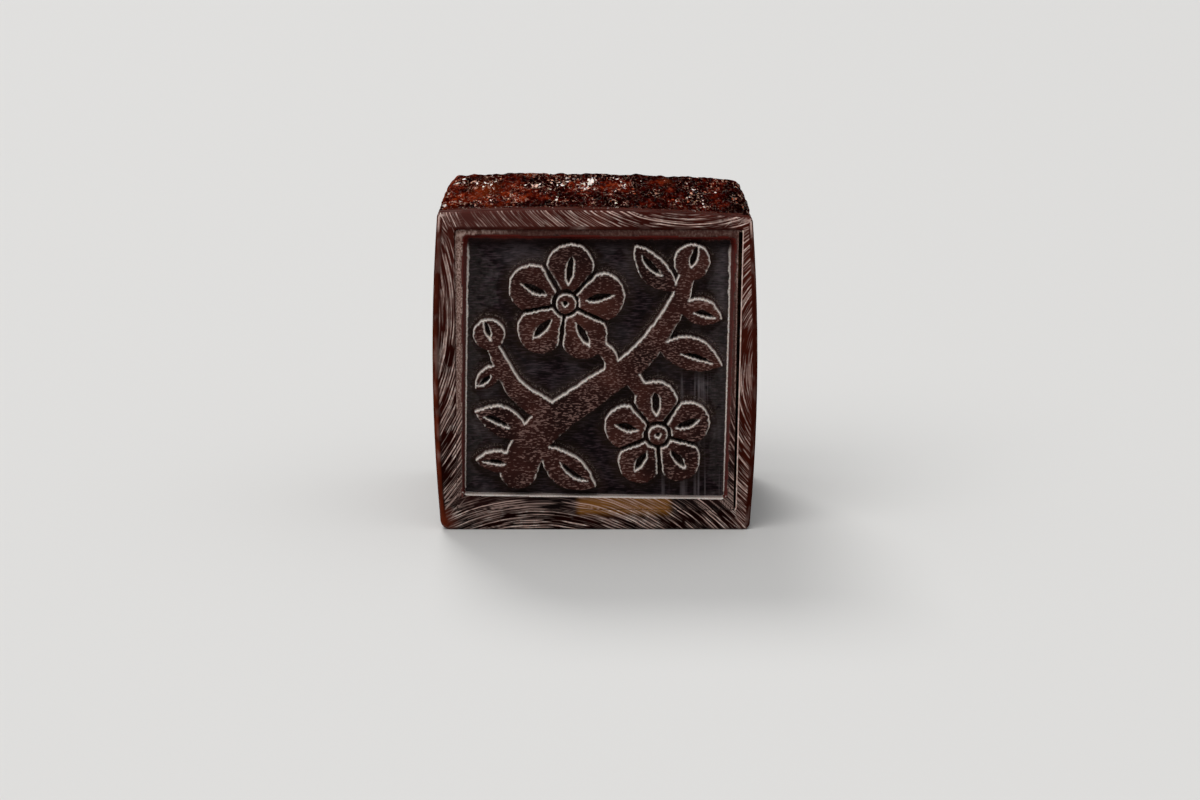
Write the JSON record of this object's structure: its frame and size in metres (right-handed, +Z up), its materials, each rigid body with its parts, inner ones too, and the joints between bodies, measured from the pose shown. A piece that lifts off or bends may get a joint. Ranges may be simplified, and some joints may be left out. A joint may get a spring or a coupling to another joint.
{
  "type": "seal stamp",
  "caption": "Square hand seal of dark horn lying on its side: rough block, framed face, and a let-in die with a raised blossom design in a sunk field.",
  "frame": {"origin": "middle of the footprint, on the surface that the seal lies on", "axes": "+X to the right seen from the front, +Y from the stamping face to the back, +Z up with the seal lying on its side"},
  "size_m": [0.0306, 0.025, 0.0303],
  "materials": {
    "rough_horn": "rough sawn dark red-brown horn, glossy",
    "amber_resin": "clear amber resin film",
    "sanded_horn": "dark red-brown horn sanded with coarse curved scratches",
    "engraved_horn": "dark horn with fine machined rows and pale cut edges"
  },
  "bodies": {
    "root": {"seal_block": "rough_horn", "resin_bed": "amber_resin", "face_frame": "sanded_horn", "engraved_die": "engraved_horn"}
  },
  "joints": []
}
